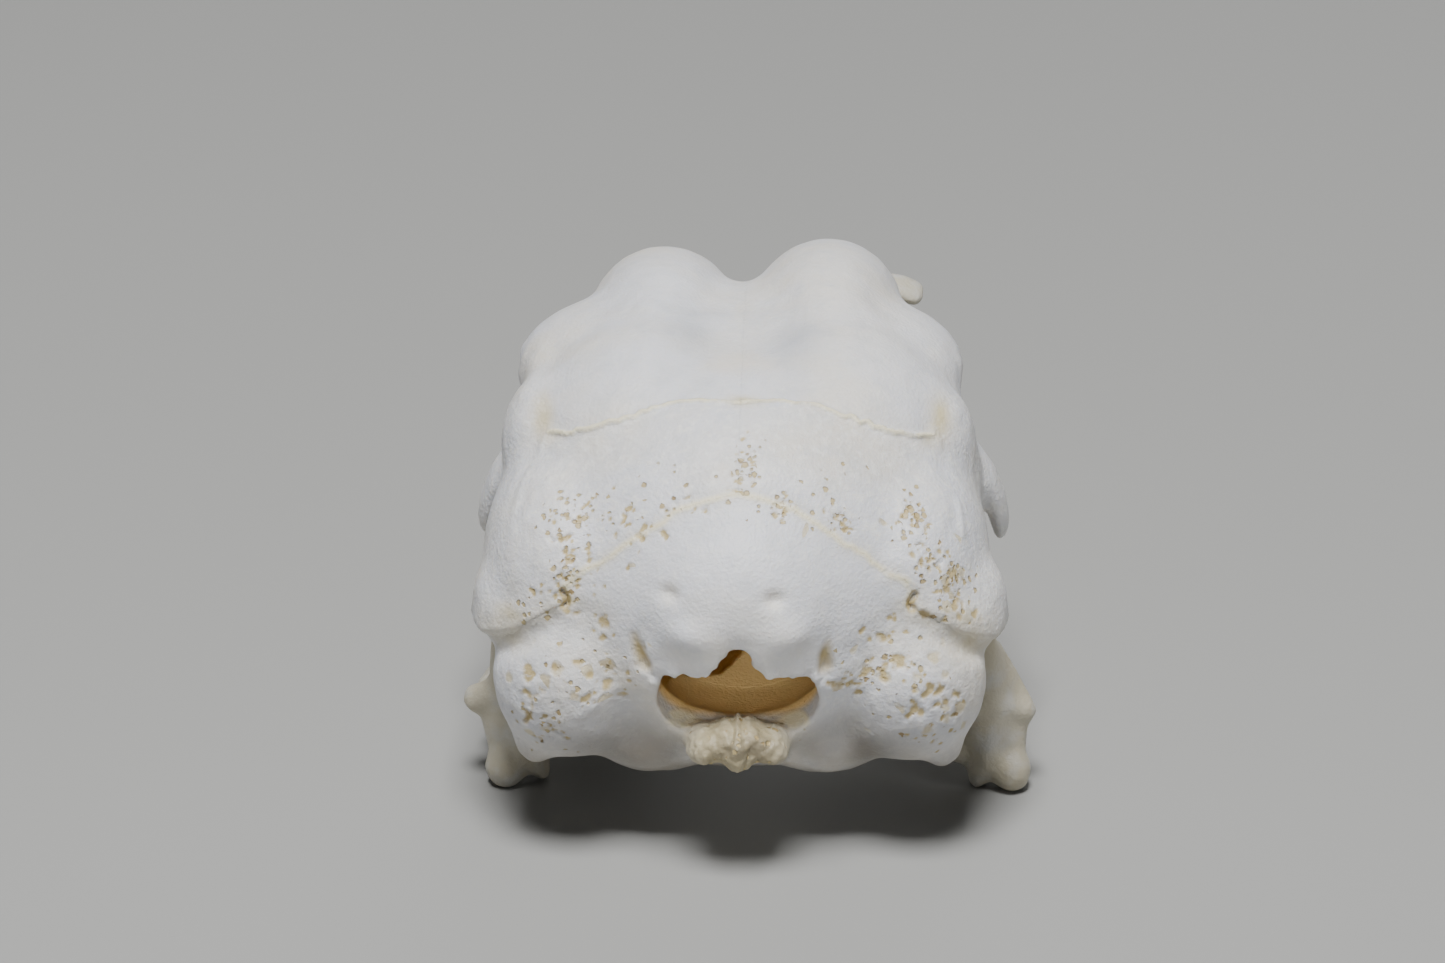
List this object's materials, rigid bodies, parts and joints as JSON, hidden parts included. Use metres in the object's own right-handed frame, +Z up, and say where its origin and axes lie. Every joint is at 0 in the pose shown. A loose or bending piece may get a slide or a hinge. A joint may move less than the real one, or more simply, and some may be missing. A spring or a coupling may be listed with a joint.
{
  "type": "chicken skull",
  "caption": "Life-size skull of a young chicken without its lower jaw, bone by bone, with open sutures, large orbits and a short pointed beak.",
  "frame": {"origin": "under the middle of the skull, on the surface that it lies on", "axes": "+Z up, +Y from the back of the head to the tip of the beak, +X to the skull's right side"},
  "size_m": [0.0306, 0.0648, 0.0253],
  "materials": {
    "bone_white": "dry cleaned bone, cool white, slightly glossy",
    "bone_cream": "dry bone, cream",
    "bone_beige": "dry bone, beige"
  },
  "bodies": {
    "root": {"basioccipital": "bone_cream", "exoccipital_left": "bone_white", "exoccipital_right": "bone_white", "frontal_left": "bone_white", "frontal_right": "bone_white", "interorbital_septum": "bone_cream", "jugal_left": "bone_beige", "jugal_right": "bone_beige", "lacrimal_left": "bone_beige", "lacrimal_right": "bone_beige", "maxilla_left": "bone_beige", "maxilla_right": "bone_beige", "nasal_left": "bone_white", "nasal_right": "bone_white", "palatine_left": "bone_beige", "palatine_right": "bone_beige", "parietal_left": "bone_white", "parietal_right": "bone_white", "premaxilla": "bone_cream", "pterygoid_left": "bone_beige", "pterygoid_right": "bone_beige", "quadrate_left": "bone_beige", "quadrate_right": "bone_beige", "sphenoid": "bone_cream", "squamosal_left": "bone_white", "squamosal_right": "bone_white", "supraoccipital": "bone_white", "vomer": "bone_cream"}
  },
  "joints": []
}
